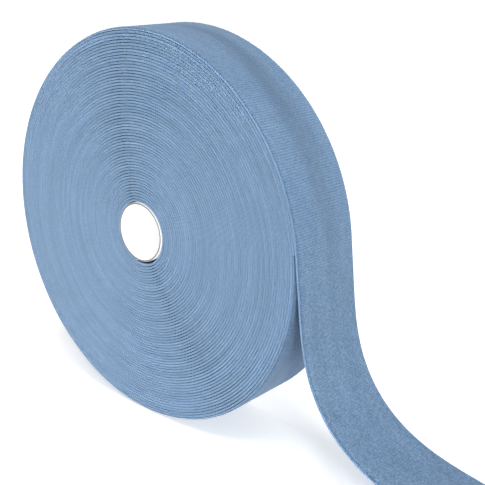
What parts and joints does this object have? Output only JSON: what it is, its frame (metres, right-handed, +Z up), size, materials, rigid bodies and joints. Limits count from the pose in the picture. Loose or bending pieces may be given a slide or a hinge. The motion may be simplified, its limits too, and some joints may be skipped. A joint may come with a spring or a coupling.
{
  "type": "roll of loop tape",
  "caption": "Roll of soft loop fastener tape wound on a paperboard core, standing on its rim with a free end that flexes.",
  "frame": {"origin": "on the floor under the middle of the roll, where its rim rests", "axes": "+Z up, the roll's axis along Y, the free end runs out towards +X"},
  "size_m": [0.4242, 0.05, 0.2381],
  "materials": {
    "tape_ground": "woven nylon, matt",
    "loop_pile": "napped nylon loops, matt with a soft sheen",
    "paperboard": "white paper liner, matt",
    "adhesive_tab": "crepe paper, satin"
  },
  "bodies": {
    "roll": {"core_tube": "paperboard", "start_tab": "adhesive_tab", "wound_tape": "tape_ground", "last_turn_ground": "tape_ground", "last_turn_pile": "loop_pile"},
    "tail_1": {"tail_ground_1": "tape_ground", "tail_pile_1": "loop_pile"},
    "tail_2": {"tail_ground_2": "tape_ground", "tail_pile_2": "loop_pile"},
    "tail_3": {"tail_ground_3": "tape_ground", "tail_pile_3": "loop_pile"},
    "tail_4": {"tail_ground_4": "tape_ground", "tail_pile_4": "loop_pile"},
    "tail_5": {"tail_ground_5": "tape_ground", "tail_pile_5": "loop_pile"}
  },
  "joints": [
    {"name": "tail_bend_1", "type": "hinge", "parent": "roll", "child": "tail_1", "pos_m": [0.11966, 0, 0.11604], "axis": [0, -1, 0], "range_deg": [0, 40]},
    {"name": "tail_bend_2", "type": "hinge", "parent": "tail_1", "child": "tail_2", "pos_m": [0.12761, 0, 0.06651], "axis": [0, -1, 0], "range_deg": [0, 35]},
    {"name": "tail_bend_3", "type": "hinge", "parent": "tail_2", "child": "tail_3", "pos_m": [0.15816, 0, 0.02715], "axis": [0, -1, 0], "range_deg": [0, 35]},
    {"name": "tail_bend_4", "type": "hinge", "parent": "tail_3", "child": "tail_4", "pos_m": [0.20594, 0, 0.01196], "axis": [0, -1, 0], "range_deg": [0, 35]},
    {"name": "tail_bend_5", "type": "hinge", "parent": "tail_4", "child": "tail_5", "pos_m": [0.25525, 0, 0.00344], "axis": [0, -1, 0], "range_deg": [0, 35]}
  ]
}
